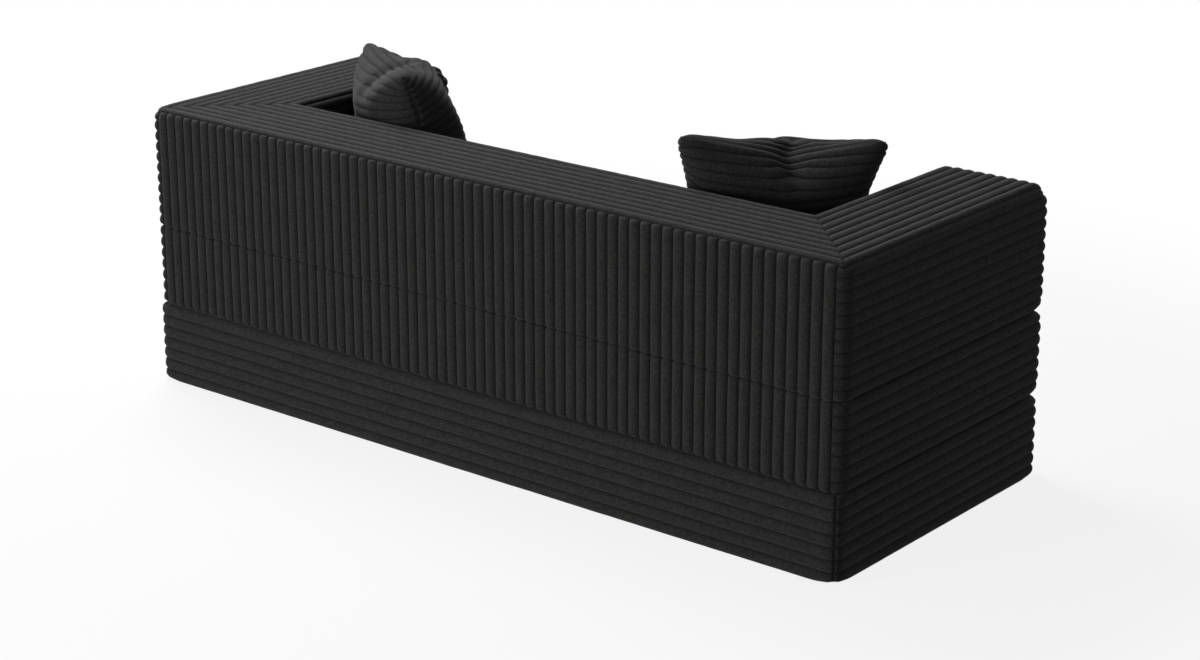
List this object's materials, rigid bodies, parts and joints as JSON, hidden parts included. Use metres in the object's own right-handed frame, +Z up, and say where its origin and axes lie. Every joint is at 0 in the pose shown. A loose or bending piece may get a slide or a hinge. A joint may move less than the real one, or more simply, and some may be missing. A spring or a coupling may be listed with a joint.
{
  "type": "folding sofa bed",
  "caption": "Block-shaped folding sofa bed of foam in wide-wale corduroy: slab base, fold-out seat and U-shaped surround of back and arms, with throw pillows.",
  "frame": {"origin": "on the floor at the middle of the folded sofa's footprint", "axes": "+X to the sitter's left along the sofa's length, +Y to its rear, +Z up"},
  "size_m": [2.05, 0.825, 0.8524],
  "materials": {
    "corduroy": "matte",
    "pillow_corduroy": "matte",
    "foam": "matte",
    "fibre_fill": "matte",
    "underside_fabric": "matte",
    "hinge_webbing": "matte",
    "zip_tape": "matte",
    "zip_metal": "satin"
  },
  "bodies": {
    "base": {"base_cover": "corduroy", "base_foam": "foam", "base_underside": "underside_fabric", "base_zip": "zip_tape", "base_zip_pull": "zip_metal", "front_hinge_tape": "hinge_webbing"},
    "seat": {"seat_cover": "corduroy", "seat_foam": "foam", "seat_underside": "underside_fabric", "seat_zip": "zip_tape", "seat_zip_pull": "zip_metal", "rear_hinge_tape": "hinge_webbing"},
    "surround": {"back_cover": "corduroy", "left_arm_cover": "corduroy", "right_arm_cover": "corduroy", "back_foam": "foam", "left_arm_foam": "foam", "right_arm_foam": "foam", "surround_underside": "underside_fabric", "surround_zip": "zip_tape", "surround_zip_pull": "zip_metal"},
    "left_pillow": {"left_pillow_front": "pillow_corduroy", "left_pillow_back": "pillow_corduroy", "left_pillow_fill": "fibre_fill", "left_pillow_zip": "zip_tape"},
    "right_pillow": {"right_pillow_front": "pillow_corduroy", "right_pillow_back": "pillow_corduroy", "right_pillow_fill": "fibre_fill", "right_pillow_zip": "zip_tape"}
  },
  "joints": [
    {"name": "front_fold", "type": "hinge", "parent": "base", "child": "seat", "pos_m": [0, -0.4135, 0.2003], "axis": [1, 0, 0], "range_deg": [0, 180]},
    {"name": "rear_fold", "type": "hinge", "parent": "seat", "child": "surround", "pos_m": [0, 0.4055, 0.4009], "axis": [1, 0, 0], "range_deg": [-180, 0]},
    {"name": "left_pillow_lift", "type": "slide", "parent": "surround", "child": "left_pillow", "axis": [0, 0, 1], "range_m": [0, 0.6]},
    {"name": "right_pillow_lift", "type": "slide", "parent": "surround", "child": "right_pillow", "axis": [0, 0, 1], "range_m": [0, 0.6]}
  ],
  "couplings": [
    {"joint": "rear_fold", "follows": "front_fold", "ratio": -1}
  ]
}
